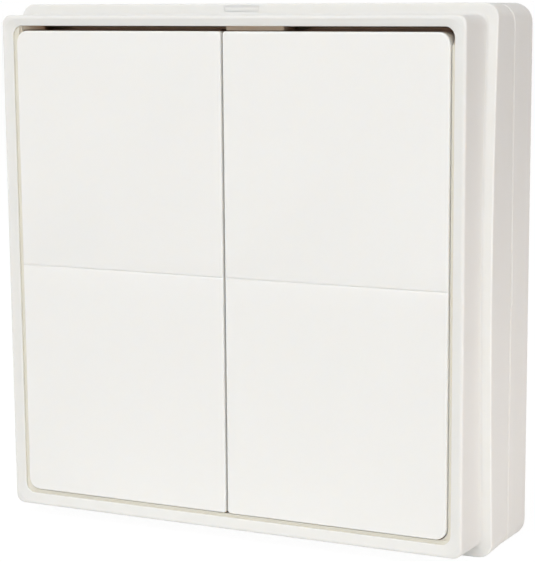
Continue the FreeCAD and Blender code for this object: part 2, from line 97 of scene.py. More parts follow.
# Rounds the corners of a wall's section and holds its faces flat beside each arc.
# A corner is (u, v, fillet, plan radius, lift)
def roundedSection(corners, closed, steps=5, hold=0.06):
    path = []
    last = len(corners) - 1
    for i, (u, v, fillet, plan, lift) in enumerate(corners):
        if fillet == 0 or (not closed and i in (0, last)):
            path.append((u, v, plan, lift))
            continue
        here = Vector((u, v))
        before = (Vector(corners[i - 1][:2]) - here).normalized()
        after = (Vector(corners[(i + 1) % len(corners)][:2]) - here).normalized()
        half = before.angle(after) / 2
        cut = fillet / math.tan(half)
        centre = here + (before + after).normalized() * fillet / math.sin(half)
        start, end = here + before * cut - centre, here + after * cut - centre
        turn = start.angle(end)
        arc = [centre + (start * math.sin(turn * (1 - k / steps)) + end * math.sin(turn * k / steps))
               / math.sin(turn) for k in range(steps + 1)]
        for p in [arc[0] + before * hold, *arc, arc[-1] + after * hold]:
            path.append((p.x, p.y, max(plan + p.x - u, leastR), lift))
    return path


def newObject(name, data):
    thing = bpy.data.objects.new(name, data)
    bpy.context.scene.collection.objects.link(thing)
    return thing


def toObject(name, shape):
    mesh = bpy.data.meshes.new(name)
    shape.to_mesh(mesh)
    shape.free()
    return newObject(name, mesh)


# Skins a row of rings of equal length, as a closed band or with both ends filled
def skin(name, rings, closed=False):
    shape = bmesh.new()
    rows = [[shape.verts.new(Vector(p) * mm) for p in ring] for ring in rings]
    count = len(rows[0])
    for i in range(len(rows) if closed else len(rows) - 1):
        one, two = rows[i], rows[(i + 1) % len(rows)]
        for k in range(count):
            shape.faces.new((one[k], one[(k + 1) % count], two[(k + 1) % count], two[k]))
    if not closed:
        shape.faces.new(rows[0])
        shape.faces.new(rows[-1])
    bmesh.ops.recalc_face_normals(shape, faces=shape.faces)
    return toObject(name, shape)


def block(x0, x1, y0, y1, z0, z1, soft=0.0):
    shape = bmesh.new()
    size = Vector((abs(x1 - x0), abs(y1 - y0), abs(z1 - z0))) * mm
    centre = Vector((x0 + x1, y0 + y1, z0 + z1)) * mm / 2
    bmesh.ops.create_cube(shape, size=1, matrix=Matrix.Translation(centre) @ Matrix.Diagonal((*size, 1)))
    if soft:
        bmesh.ops.bevel(shape, geom=shape.edges[:], offset=soft * mm, segments=3, profile=0.5, affect="EDGES")
    return toObject("tool", shape)


def circle(sides):
    return [(math.cos(a), math.sin(a)) for a in [2 * math.pi * k / sides for k in range(sides)]]


# A turned shape about an axis along Y. The profile is a row of (radius, y)
def turned(name, profile, x, z, sides=48):
    return skin(name, [[(x + r * u, y, z + r * v) for u, v in circle(sides)] for r, y in profile])


def rodX(radius, x0, x1, y, z, sides=48):
    return skin("tool", [[(x, y + radius * u, z + radius * v) for u, v in circle(sides)] for x in (x0, x1)])


# A rounded rectangle along Y. A level is (y, how far it has grown)
def pocket(middle, halves, radius, levels):
    rings = []
    for y, grow in levels:
        points = outline(Vector(middle), (halves[0] + grow, halves[1] + grow), [radius + grow] * 4)
        rings.append([(p.x, y, p.y) for p in points])
    return skin("tool", rings)


# Puts the mesh that a modifier makes in place of the piece's own
def applyStep(piece, step):
    view = bpy.context.evaluated_depsgraph_get()
    mesh = bpy.data.meshes.new_from_object(piece.evaluated_get(view))
    piece.modifiers.remove(step)
    old = piece.data
    piece.data = mesh
    bpy.data.meshes.remove(old)


# Joins a tool to a piece, or cuts the tool out of it, and drops the tool
def carve(piece, tool, how="DIFFERENCE"):
    step = piece.modifiers.new("carve", "BOOLEAN")
    step.operation, step.object, step.solver = how, tool, "EXACT"
    applyStep(piece, step)
    bpy.data.objects.remove(tool)


# Gives a finished piece its material and its body, and hides the parts it stands for
def settle(piece, material, slot, *nodes, body="housing", degrees=32):
    piece.data.shade_smooth()
    piece.data.set_sharp_from_angle(angle=math.radians(degrees))
    piece.data.materials.clear()
    piece.data.materials.append(material)
    if body:
        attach(piece, body)
    if nodes:
        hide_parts(*nodes)


# Camera
cameraFit = {
    "photoSize": (535, 562),
    "principalX": 330.0,  # where the lens axis meets the photo, in its pixels
    "principalY": 345.0,
    "focal": 1911.0,  # in the same pixels
    "turns": (-0.118, 9.929, -26.165),  # roll, pitch and yaw of the switch, in degrees
    "crest": (-16.917, 302.1, 10.553),  # from the camera: across, ahead and up
    "stretch": 1.00537,  # from the fit's size of switch to this one
    "sensor": 36.0,
    "clip": (0.01, 100),  # in metres, like the stage
}


def makeCamera(fit):
    roll, pitch, yaw = [Matrix.Rotation(math.radians(turn), 3, axis) for turn, axis in zip(fit["turns"], "YXZ")]
    back = (roll @ pitch @ yaw).transposed()
    eye = Vector((0, frontY, 0)) - back @ (Vector(fit["crest"]) * fit["stretch"])
    right, ahead, up = back.col
    data = bpy.data.cameras.new("photoCamera")
    camera = newObject("photoCamera", data)
    camera.matrix_world = Matrix.Translation(eye * mm) @ Matrix((right, up, -ahead)).transposed().to_4x4()
    width, height = fit["photoSize"]
    longSide = max(width, height)
    data.sensor_width = fit["sensor"]
    data.lens = fit["focal"] * fit["sensor"] / longSide
    data.shift_x = -(fit["principalX"] - width / 2) / longSide
    data.shift_y = (fit["principalY"] - height / 2) / longSide
    data.clip_start, data.clip_end = fit["clip"]
    bpy.context.scene.camera = camera


makeCamera(cameraFit)
print("camera ready")


# Sets a node's inputs to values, or links them to other nodes
def feed(node, inputs):
    for key, value in inputs.items():
        if isinstance(value, bpy.types.NodeSocket):
            node.id_data.links.new(value, node.inputs[key])
        else:
            node.inputs[key].default_value = value


# Adds a node and gives one of its outputs
def treeNode(tree, kind, inputs, settings=None, output=0):
    node = tree.nodes.new(kind)
    for key, value in (settings or {}).items():
        setattr(node, key, value)
    feed(node, inputs)
    return node.outputs[output]


def calc(tree, operation, one, two=0.0):
    return treeNode(tree, "ShaderNodeMath", {0: one, 1: two}, {"operation": operation})


def product(tree, one, *others):
    for other in others:
        one = calc(tree, "MULTIPLY", one, other)
    return one


def vectorOf(tree, **parts):
    return treeNode(tree, "ShaderNodeCombineXYZ", parts)


def newMaterial(name, colour, roughness, metallic=0.0):
    material = bpy.data.materials.new(name)
    material.use_nodes = True
    shader = material.node_tree.nodes["Principled BSDF"]
    feed(shader, {"Base Color": (*colour, 1), "Roughness": roughness, "Metallic": metallic})
    return material, material.node_tree, shader


def objectPlace(tree):
    return treeNode(tree, "ShaderNodeTexCoord", {}, output="Object")


def objectAxis(tree, axis):
    return treeNode(tree, "ShaderNodeSeparateXYZ", {0: objectPlace(tree)}, output=axis)


# Noise on object coordinates. A size is one number, or one for each axis
def noiseOf(tree, size, detail=2.0):
    sizes = size if isinstance(size, tuple) else (size,) * 3
    place = treeNode(tree, "ShaderNodeMapping", {
        "Vector": objectPlace(tree), "Scale": [1 / (s * mm) for s in sizes]})
    return treeNode(tree, "ShaderNodeTexNoise", {"Vector": place, "Scale": 1.0, "Detail": detail})


def spread(tree, source, low, high, fromLow=0.3, fromHigh=0.7):
    return treeNode(tree, "ShaderNodeMapRange", {
        "Value": source, "From Min": fromLow, "From Max": fromHigh, "To Min": low, "To Max": high})


def mixed(tree, share, one, two, blend="MIX"):
    one, two = [(*tone, 1) if isinstance(tone, tuple) else tone for tone in (one, two)]
    settings = {"data_type": "RGBA", "blend_type": blend}
    return treeNode(tree, "ShaderNodeMix", {0: share, 6: one, 7: two}, settings, 2)


def bumpOf(tree, height, depth, under=None):
    inputs = {"Height": height, "Distance": depth * mm}
    if under:
        inputs["Normal"] = under
    return treeNode(tree, "ShaderNodeBump", inputs)


# Whether a point lies more than reach from centre along an axis, or to either side of it
def beyond(tree, axis, centre, reach, both):
    away = calc(tree, "SUBTRACT", objectAxis(tree, axis), centre * mm)
    if both:
        away = calc(tree, "ABSOLUTE", away)
    return calc(tree, "GREATER_THAN", away, reach * mm)


# Moulded plastic: slow drift of tone, fine spark-eroded grain, uneven satin
def mouldedPlastic(name, colour, **changes):
    look = {**ivoryLook, **changes}
    satin, patch, drift = look["satin"], look["patch"], look["drift"]
    material, tree, shader = newMaterial(name, colour, satin)
    light = tuple(min(c * (1 + drift), 1) for c in colour)
    dark = tuple(c * (1 - drift) for c in colour)
    flow = bumpOf(tree, noiseOf(tree, look["flowSize"]), look["flowDepth"])
    feed(shader, {
        "Base Color": mixed(tree, spread(tree, noiseOf(tree, look["driftSize"]), 0, 1), dark, light),
        "Roughness": spread(tree, noiseOf(tree, look["patchSize"], detail=3.0), satin - patch, satin + patch),
        "Normal": bumpOf(tree, noiseOf(tree, look["grainSize"], detail=3.0), look["grainDepth"], flow),
        "Subsurface Weight": look["glow"], "Subsurface Radius": look["glowTint"],
        "Subsurface Scale": look["glowReach"] * mm, "IOR": look["bend"]})
    return material


# Painted shade and painted bounce light off the brown carrier: a wall is browner and darker the deeper it lies in
# the opening
def paintedOpeningShade(material, look):
    tree = material.node_tree
    shader = tree.nodes["Principled BSDF"]
    plain = shader.inputs["Base Color"].links[0].from_socket
    start, end = [(frontY + depth) * mm for depth in look["deepReach"]]
    ramp = tree.nodes.new("ShaderNodeValToRGB")
    feed(ramp, {0: spread(tree, objectAxis(tree, 1), 0, 1, start, end)})
    tones = ramp.color_ramp.elements
    for share, _ in look["paintedShadeTones"][1:-1]:
        tones.new(share)
    for element, (_, tone) in zip(tones, look["paintedShadeTones"]):
        element.color = (*tone, 1)
    # the painted shade darkens the plastic's own tone towards brown
    shaded = mixed(tree, 1, plain, ramp.outputs[0], "MULTIPLY")
    half = openingHalf + look["wallDepth"]
    outside = calc(tree, "MAXIMUM", beyond(tree, 0, 0, half, True), beyond(tree, 2, 0, half, True))
    feed(shader, {"Base Color": mixed(tree, outside, shaded, plain)})


# Drawn, ground or plated metal: fine lines along one axis and duller patches
def drawnMetal(name, colour, satin, lineSize, patchSize, dull, lineDepth, smoother=0.08, rougher=0.1):
    material, tree, shader = newMaterial(name, colour, satin, 1.0)
    lines = noiseOf(tree, lineSize, detail=4.0)
    patchy = spread(tree, noiseOf(tree, patchSize), 0, 1)
    feed(shader, {
        "Base Color": mixed(tree, patchy, tuple(c * dull for c in colour), colour),
        "Roughness": spread(tree, lines, satin - smoother, satin + rougher),
        "Normal": bumpOf(tree, lines, lineDepth)})
    return material


ivoryLook = {
    "satin": 0.62,
    "patch": 0.04,
    "patchSize": 6.0,
    "drift": 0.004,  # share by which the tone wanders
    "driftSize": 25.0,
    "flowSize": 9.0,  # faint waves of the moulding flow
    "flowDepth": 0.004,
    "grainSize": 0.22,
    "grainDepth": 0.004,
    "glow": 1.0,  # share of the light that enters the plastic
    "glowReach": 0.45,
    "glowTint": (1.0, 0.95, 0.88),
    "bend": 1.5,  # of the light, as an index of refraction
}
# Painted shade in the gap round the keys: deepReach is where the painted shade starts and is fullest, and the
# tones brown and darken the walls with depth
openingShadeLook = {
    "deepReach": (0.45, 4.0),  # behind the crest of the rim
    "paintedShadeTones": [(0.0, (1.0, 1.0, 1.0)), (0.07, (0.98, 0.95, 0.86)), (0.5, (0.76, 0.6, 0.48)),
                  (1.0, (0.62, 0.37, 0.24))],  # from 0 to 1 of that reach
    "wallDepth": 0.4,  # how far into the walls round the opening the tone goes
}
ivory = (0.803, 0.8, 0.775)
housingPlastic = mouldedPlastic("housingPlastic", ivory)
platePlastic = mouldedPlastic("platePlastic", ivory, grainDepth=0.007)
keyPlastic = mouldedPlastic("keyPlastic", (0.865, 0.862, 0.836), grainDepth=0.003)
# The carrier's dark brown is partly painted shade: it is made dark to stand for the deep shade seen through the
# gap round the keys
carrierPlastic = mouldedPlastic("carrierPlastic", (0.37, 0.215, 0.14), satin=0.6, drift=0.05, driftSize=14.0,
                                grainDepth=0.01, glow=0.0)
print("ivory and brown plastics ready")


# Front housing
housingSizes = {
    "baseCornerR": 3.0,  # at the seam
    "stepCornerR": 2.3,  # at the step's front
    "stepWidth": 1.78,
    "neckCornerR": 1.5,
    "neckDepth": 7.0,
    "sideDepth": 8.1,
    "domeR": 600.0,  # the step's front is part of a wide dome
    "coveR": 0.45,
    "stepEdgeR": 0.25,
    "edgeR": 0.4,
    "rimWidth": 1.95,
    "rimFall": 0.35,
    "rimCrest": 0.55,
    "crestCornerR": 2.3,
    "rimEdgeR": 0.15,
    "openingCornerR": 1.6,
    "topLift": 0.27,  # the top of the rim is narrower by this
    "liftReach": 0.2,  # on rings this close to the opening
    "liftDepth": 2.0,  # and this far behind the crest
    "straightHalf": 33.0,  # the part of a side that has points of its own
    "seamGap": 0.06,
    "seamEdgeR": 0.22,
    "shelfDepth": 11.6,
    "shelfThick": 1.6,
    "shelfHalf": 35.5,
    "tongueOuter": 41.0,
    "tongueInner": 40.0,
    "tongueHeight": 1.9,
    "tongueCornerR": 1.2,
    "slotHalf": 3.05,  # slot of the latch
    "slotTop": 42.6,
    "slotHeight": 0.85,
    "slotDepth": 1.7,
    "pocketHalf": 3.55,
}
ledgeSizes = {
    "depth": 0.7,  # behind the crest of the rim
    "thick": 0.8,
    "cornerR": 1.9,
    "reach": 0.62,  # from the opening's walls, at the left and right
    "reachLow": 0.54,  # at the bottom, where the keys swing past it
    "reachTop": 0.4,
    "reachDeep": 0.41,
    "rightDrop": 0.15,  # the right side lies deeper by this
    "leftTopDrop": 0.4,
    "topOpenFrom": -37.9,  # from here to the right the top has no shallow ledge
    "rightTop": 36.8,  # nor has the right side above this
    "slopeSetback": 0.02,
    "leftSlopeEnd": -35.3,
    "leftSlopeFall": 2.6,
    "leftSlopeThick": 0.5,
    "rightSlopeFall": 2.8,
    "rightSlopeThick": 1.5,
    "deepEnds": (-0.1, 10.0),  # the deeper piece in the break, along X
    "deepReach": (2.2, 6.0),
}
stepY = frontY + housingSizes["neckDepth"]
seamY = stepY + housingSizes["sideDepth"]
domeCentreY = stepY + math.sqrt(housingSizes["domeR"] ** 2 - baseHalf ** 2)
openingHalf = baseHalf - housingSizes["stepWidth"] - housingSizes["rimWidth"]
slotBottom = housingSizes["slotTop"] - housingSizes["slotHeight"]
sideStops = evenly(housingSizes["straightHalf"], 12)


def domeY(x, z):
    return domeCentreY - math.sqrt(housingSizes["domeR"] ** 2 - x * x - z * z)


def squareRings(section):
    s = housingSizes
    rings = []
    for u, v, plan, lift in section:
        points = outline(Vector((0, 0)), (u, u), [plan] * 4, (sideStops, sideStops))
        if abs(u - openingHalf) < s["liftReach"] and v < frontY + s["liftDepth"]:
            liftTop(points, s["topLift"], s["straightHalf"], openingHalf)
        flatY = domeY(u, 0)
        rings.append([(p.x, v + lift * (domeY(p.x, p.y) - flatY), p.y) for p in points])
    return rings


# A bar along X, or along Z when it stands, whose front slopes from y0 to y1
def slope(start, end, y0, y1, thick, low, high, stands=False):
    section = [(start, y0), (end, y1), (end, y1 + thick), (start, y1 + thick)]
    return skin("tool", [[(across, y, along) if stands else (along, y, across) for along, y in section]
                         for across in (low, high)])


# A frame in the gap round the keys. Slopes and one deeper piece fill the long break at its top
def gapLedge(s):
    y0 = frontY + s["depth"]
    y1 = y0 + s["thick"]
    outer = openingHalf + housingSizes["topLift"] + root
    side, low, top, deep = [openingHalf - s[reach] for reach in ("reach", "reachLow", "reachTop", "reachDeep")]
    ledge = pocket((0, 0), (outer, outer), housingSizes["openingCornerR"], [(y0, 0), (y1, 0)])
    front, back, clear = y0 - past, y1 + past, outer + past
    carve(ledge, pocket((0, (top - low) / 2), (side, (top + low) / 2), s["cornerR"], [(front, 0), (back, 0)]))
    carve(ledge, block(s["topOpenFrom"], clear, front, back, s["rightTop"], clear))
    carve(ledge, block(side - past, clear, front, y0 + s["rightDrop"], -side, clear))
    carve(ledge, block(past - openingHalf, 0, front, y0 + s["leftTopDrop"], side - 2 * past, clear))
    leftY, rightY = [y0 + s[drop] + s["slopeSetback"] for drop in ("leftTopDrop", "rightDrop")]
    carve(ledge, slope(s["topOpenFrom"] - root, s["leftSlopeEnd"], leftY, leftY + s["leftSlopeFall"],
                       s["leftSlopeThick"], top, outer), "UNION")
    carve(ledge, slope(s["rightTop"] - root, outer, rightY, rightY + s["rightSlopeFall"],
                       s["rightSlopeThick"], side, outer, True), "UNION")
    carve(ledge, block(*s["deepEnds"], *[frontY + y for y in s["deepReach"]], deep, outer), "UNION")
    return ledge


def makeHousing(s):
    # Paints shade and brown bounce light into the housing's walls round the opening
    paintedOpeningShade(housingPlastic, openingShadeLook)
    neck = baseHalf - s["stepWidth"]
    backY = seamY - s["seamGap"]
    shelfY = frontY + s["shelfDepth"]
    shelfBackY = shelfY + s["shelfThick"]
    tongueEndY = seamY + s["tongueHeight"]
    plan = s["openingCornerR"]
    corners = [
        (openingHalf + s["rimWidth"] - s["rimCrest"], frontY, s["rimEdgeR"], s["crestCornerR"], 0),
        (neck, frontY, s["edgeR"], s["neckCornerR"], 0),
        (neck, domeY(neck, 0), s["coveR"], s["neckCornerR"], 1),
        (baseHalf, domeY(baseHalf, 0), s["stepEdgeR"], s["stepCornerR"], 1),
        (baseHalf, backY, s["seamEdgeR"], s["baseCornerR"], 0),
        (s["tongueOuter"], backY, 0, s["tongueCornerR"], 0),
        (s["tongueOuter"], tongueEndY, 0, s["tongueCornerR"], 0),
        (s["tongueInner"], tongueEndY, 0, plan, 0),
        (s["tongueInner"], shelfBackY, 0, plan, 0),
        (s["shelfHalf"], shelfBackY, 0, plan, 0),
        (s["shelfHalf"], shelfY, 0, plan, 0),
        (openingHalf, shelfY, 0, plan, 0),
        (openingHalf, frontY + s["rimFall"], s["rimEdgeR"], plan, 0),
    ]
    housing = skin("housingShell", squareRings(roundedSection(corners, True)), True)
    pocketY, endY = stepY + s["slotDepth"], tongueEndY + past
    half, top = s["pocketHalf"], s["slotTop"]
    carve(housing, block(-s["slotHalf"], s["slotHalf"], frontY, pocketY + past, slotBottom, top))
    carve(housing, block(-half, half, pocketY, endY, slotBottom, top - hair))
    carve(housing, block(-half - hair, half + hair, shelfBackY, endY, s["tongueInner"] - past, top - 2 * hair))
    carve(housing, gapLedge(ledgeSizes), "UNION")
    settle(housing, housingPlastic, "ivory_housing", "front_housing")


makeHousing(housingSizes)
print("housing ready")

# Wall plate
plateSizes = {
    "wall": 1.8,
    "floorThick": 1.8,
    "innerCornerR": 1.2,
    "seamChamfer": 0.42,
    "seamSoftR": 0.07,
    "backEdgeR": 0.4,
    "backFlat": 1.0,  # from the outer edge to where the back's own face starts
    "slotMiddle": 30.15,  # screw slots
    "slotHalf": 4.0,
    "slotR": 2.2,
    "slotChamfer": 0.3,
    "tapeHalves": (30.0, 10.0),
    "tapeMiddle": 24.0,
    "tapeCornerR": 2.0,
    "tapeDepth": 0.4,
    "tapeDraft": 0.12,
    "ribMiddle": 30.15,
    "ribHalf": 0.6,
    "ribHeight": 1.5,
    "pryMiddle": 0.5,
    "pryHalf": 4.5,
    "pryHalfY": 1.0,  # of the notch, where its walls cross the base's side
    "pryDepth": 0.75,
    "pryFloor": 42.35,  # how far out the notch's inner wall lies
    "pryR": 0.5,
    "latchGap": 0.02,
    "latchRecess": -0.01,  # below zero its tip stands proud
    "latchRoot": 1.0,
    "latchSoftR": 0.04,
    "grooveHalf": 6.1,
    "grooveHalfY": 0.4,
    "grooveReach": 41.45,
}


def pryTool(s, side):
    floor, mouth = s["pryFloor"], baseHalf - s["pryFloor"]
    rings = []
    for out, grow in [(floor, -mouth), (floor + mouth * 2, mouth)]:
        halfY = s["pryHalfY"] + grow / 2
        middle = Vector((seamY + s["pryDepth"] + grow - halfY, s["pryMiddle"]))
        points = outline(middle, (halfY, s["pryHalf"] + grow), [s["pryR"] + max(grow, 0) / 2] * 4)
        rings.append([(side * out, p.x, p.y) for p in points])
    return skin("tool", rings)


def makeWallPlate(s):
    inner = baseHalf - s["wall"]
    floorY = -s["floorThick"]
    cornerR = housingSizes["baseCornerR"]
    shoulder = baseHalf - s["seamChamfer"]
    corners = [
        (inner, floorY, 0, s["innerCornerR"], 0),
        (inner, seamY, s["seamSoftR"], s["innerCornerR"], 0),
        (shoulder, seamY, s["seamSoftR"], cornerR - s["seamChamfer"], 0),
        (baseHalf, seamY + s["seamChamfer"], s["seamSoftR"], cornerR, 0),
        (baseHalf, 0, s["backEdgeR"], cornerR, 0),
        (baseHalf - s["backFlat"], 0, 0, cornerR - s["backFlat"], 0),
    ]
    plate = skin("wallPlateShell", squareRings(roundedSection(corners, False)))
    reach, half = inner + root, s["ribHalf"]
    for z in (-s["ribMiddle"], s["ribMiddle"]):
        carve(plate, block(-reach, reach, floorY - s["ribHeight"], floorY + root, z - half, z + half), "UNION")
    tongueY = seamY + housingSizes["tongueHeight"] / 2
    across, half = s["grooveReach"], s["grooveHalf"]
    grooveY = (tongueY - s["grooveHalfY"], tongueY + s["grooveHalfY"])
    chamfer = s["slotChamfer"]
    slotLevels = [(floorY - past, 0), (-chamfer, 0), (chamfer, 2 * chamfer)]
    tapeLevels = [(-s["tapeDepth"], 0), (s["tapeDepth"], 2 * s["tapeDraft"])]
    for side in (-1, 1):
        carve(plate, block(side * (inner - past), side * across, *grooveY, -half, half))
        halves = (s["slotHalf"], s["slotR"])
        carve(plate, pocket((side * s["slotMiddle"], 0), halves, s["slotR"] - hair, slotLevels))
        carve(plate, pocket((0, side * s["tapeMiddle"]), s["tapeHalves"], s["tapeCornerR"], tapeLevels))
        carve(plate, pryTool(s, side))
    carve(plate, block(-half, half, *grooveY, -across, past - inner))
    gap = s["latchGap"]
    half, top = housingSizes["slotHalf"] - gap, housingSizes["slotTop"] - gap
    tipY = domeY(0, top) + s["latchRecess"]
    latch = block(-half, half, tipY, seamY + s["latchRoot"], slotBottom + gap, top, s["latchSoftR"])
    carve(plate, latch, "UNION")
    settle(plate, platePlastic, "ivory_plate", "wall_plate")


makeWallPlate(plateSizes)
print("wall plate ready")

# Rocker keys
keySizes = {
    "gap": 0.7,  # round the pair
    "split": 0.36,  # between the two
    "recess": 0.3,  # below the crest of the rim
    "faceThick": 1.8,
    "faceInset": 0.5,  # from the edge to where the face's own plane starts
    "skirt": 1.2,
    "depth": 4.0,
    "outerR": 1.9,
    "innerR": 0.5,
    "topLift": 0.15,  # the top edge stands this much higher
    "straightHalf": 35.0,
    "straightHalfX": 16.0,
    "edgeR": 0.25,
    "skirtEdgeR": 0.1,
    "roofR": 0.3,
    "roofInset": 0.6,
    "creaseHalf": 0.32,
    "creaseSoft": 0.1,
    "creaseEdge": (0.004, 0.01),  # how far its shoulders start above the face and fall below it
    "creaseDip": 0.08,  # shallow flanks, down to a fine slit
    "slitHalf": 0.02,
    "slitSoft": 0.02,
    "slitDepth": 0.14,
    "ribHalf": 0.5,
    "ribHeight": 1.4,
    "crossRibRise": 0.01,
    "padR": 2.5,
    "padSoft": 0.15,
    "padDepth": 3.9,
    "padInset": 10.57,  # press points, from the ends of the keys
    "earSpread": 12.3,
    "earHalf": 1.0,
    "earR": 2.4,
    "boreR": 1.05,
    "pivotSetback": 5.6,
}
faceY = frontY + keySizes["recess"]
skirtY = faceY + keySizes["depth"]
pivotY = frontY + keySizes["pivotSetback"]
keyHalfHeight = openingHalf - keySizes["gap"]
keyHalf = (keyHalfHeight - keySizes["split"] / 2) / 2
keyMiddle = keySizes["split"] / 2 + keyHalf
pressZ = keyHalfHeight - keySizes["padInset"]
keyStops = (evenly(keySizes["straightHalfX"], 5), evenly(keySizes["straightHalf"], 10))


def keyRings(s, middle, section, outerCorners):
    rings = []
    for out, y, plan, lift in section:
        change = plan - s["outerR"]
        radii = [max((s["outerR"] if outer else s["innerR"]) + change, leastR) for outer in outerCorners]
        points = outline(Vector((middle, 0)), (keyHalf + out, keyHalfHeight + out), radii, keyStops)
        liftTop(points, s["topLift"], s["straightHalf"], keyHalfHeight)
        rings.append([(p.x, y, p.y) for p in points])
    return rings


# A shallow groove right across the face, with softened shoulders
def creaseTool(s, x0, x1):
    half, dip, slit, soft = s["creaseHalf"], s["creaseDip"], s["slitHalf"], s["slitSoft"]
    wide, (above, below) = half + s["creaseSoft"], s["creaseEdge"]
    side = [(wide, -root), (wide, -above), (half, below), (slit + soft, dip), (slit, dip + soft),
            (slit, s["slitDepth"])]
    section = [(-z, y) for z, y in side] + side[::-1]
    return skin("tool", [[(x, faceY + y, z) for z, y in section] for x in (x0, x1)])


def makeKey(s, name, side):
    middle = side * keyMiddle
    roofY = faceY + s["faceThick"]
    inside = s["outerR"] - s["skirt"]
    corners = [
        (-s["faceInset"], faceY, 0, s["outerR"] - s["faceInset"], 0),
        (0, faceY, s["edgeR"], s["outerR"], 0),
        (0, skirtY, s["skirtEdgeR"], s["outerR"], 0),
        (-s["skirt"], skirtY, s["skirtEdgeR"], inside, 0),
        (-s["skirt"], roofY, s["roofR"], inside, 0),
        (-s["skirt"] - s["roofInset"], roofY, 0, inside - s["roofInset"], 0),
    ]
    outerCorners = [side < 0, side > 0, side > 0, side < 0]
    key = skin(name + "KeyShell", keyRings(s, middle, roundedSection(corners, False), outerCorners))
    rootY, ribY, padY = roofY - root, roofY + s["ribHeight"], faceY + s["padDepth"]
    half, reach = s["ribHalf"], keyHalf - s["skirt"] / 2
    ribs = [block(middle - half, middle + half, rootY, ribY, -pressZ, pressZ)]
    for z in (-pressZ / 2, pressZ / 2):
        ribs.append(block(middle - reach, middle + reach, rootY, ribY + s["crossRibRise"], z - half, z + half))
    for end in (-1, 1):
        profile = [(s["padR"], rootY), (s["padR"], padY - s["padSoft"]), (s["padR"] - s["padSoft"], padY)]
        x0 = middle + end * s["earSpread"] - s["earHalf"]
        x1 = x0 + 2 * s["earHalf"]
        ribs += [turned("tool", profile, middle, end * pressZ),
                 block(x0, x1, rootY, pivotY, -s["earR"], s["earR"]),
                 rodX(s["earR"] + 4 * hair, x0 - 4 * hair, x1 + 4 * hair, pivotY, 0, sides=64)]
    for rib in ribs:
        carve(key, rib, "UNION")
    bore = s["earSpread"] + 2 * s["earHalf"]
    carve(key, rodX(s["boreR"], middle - bore, middle + bore, pivotY, 0))
    carve(key, creaseTool(s, middle - keyHalf - past, middle + keyHalf + past))
    settle(key, keyPlastic, "ivory_keys", name + "_rocker", body=name + "_rocker", degrees=36)


for name, side in (("left", -1), ("right", 1)):
    makeKey(keySizes, name, side)
print("keys ready")

# Inner parts that keep their shape
ceramicLook = {
    "satin": 0.35, "drift": 0.05, "driftSize": 1.2, "grainSize": 0.06, "grainDepth": 0.006, "glow": 0.0}
# Colour, and what differs from the ivory
innerPlastics = {
    "plungerPlastic": ((0.8, 0.8, 0.78), {"satin": 0.42, "glow": 0.6}),
    "holderPlastic": ((0.02, 0.02, 0.021), {"satin": 0.55, "drift": 0.1, "grainDepth": 0.012, "glow": 0.0}),
    "chipResin": ((0.018, 0.018, 0.02), {
        "satin": 0.5, "drift": 0.12, "driftSize": 3.0, "grainSize": 0.08, "grainDepth": 0.01, "glow": 0.0}),
    "antennaCeramic": ((0.62, 0.66, 0.7), ceramicLook),
}
# Colour, satin, size of the fine lines, size and tone of the dull patches, depth of the lines
innerMetals = {
    "pinSteel": ((0.62, 0.61, 0.59), 0.24, (0.07, 2.0, 2.0), 3.0, 0.82, 0.002),
    "springSteel": ((0.55, 0.54, 0.52), 0.28, 0.12, 1.5, 0.8, 0.002),
    "screwZinc": ((0.66, 0.67, 0.7), 0.3, (0.25, 0.06, 0.25), 1.2, 0.8, 0.003),
    "cellSteel": ((0.68, 0.67, 0.65), 0.22, (0.09, 5.0, 5.0), 7.0, 0.88, 0.0015),
    "contactNickel": ((0.7, 0.67, 0.6), 0.26, (5.0, 1.0, 0.08), 2.5, 0.85, 0.0015),
    "shieldTin": ((0.66, 0.66, 0.65), 0.34, (0.1, 1.0, 4.0), 3.5, 0.84, 0.003),
    "canNickel": ((0.68, 0.66, 0.6), 0.28, (0.06, 1.0, 2.0), 1.0, 0.85, 0.001),
}
boardLook = {
    "satin": 0.32,
    "satinSwing": (0.05, 0.08),  # smoother and rougher by these
    "trackPitch": 1.3,  # between parallel tracks
    "trackWidth": 0.24,
    "trackSoft": 0.2,
    "trackRun": 11.0,  # before a track steps aside
    "trackStep": 0.37,
    "trackDepth": 0.035,
    "fieldSize": 9.0,  # areas with tracks and areas of plain copper
    "fieldShape": 0.7,
    "fieldThick": 1000,  # so large that depth makes no difference
    "routed": (0.6, 0.62),  # areas of the dice below the first have tracks
    "poured": (0.75, 0.76),  # and those above the second are copper
    "weaveSize": 0.35,  # glass cloth under the lacquer
    "weaveDepth": 0.004375,
}
tinLook = {"colour": (0.66, 0.66, 0.64), "glazeDepth": 0.1}


def dress(material, *names):
    for name in names:
        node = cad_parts[name]
        node.data.materials.clear()
        node.data.materials.append(material)


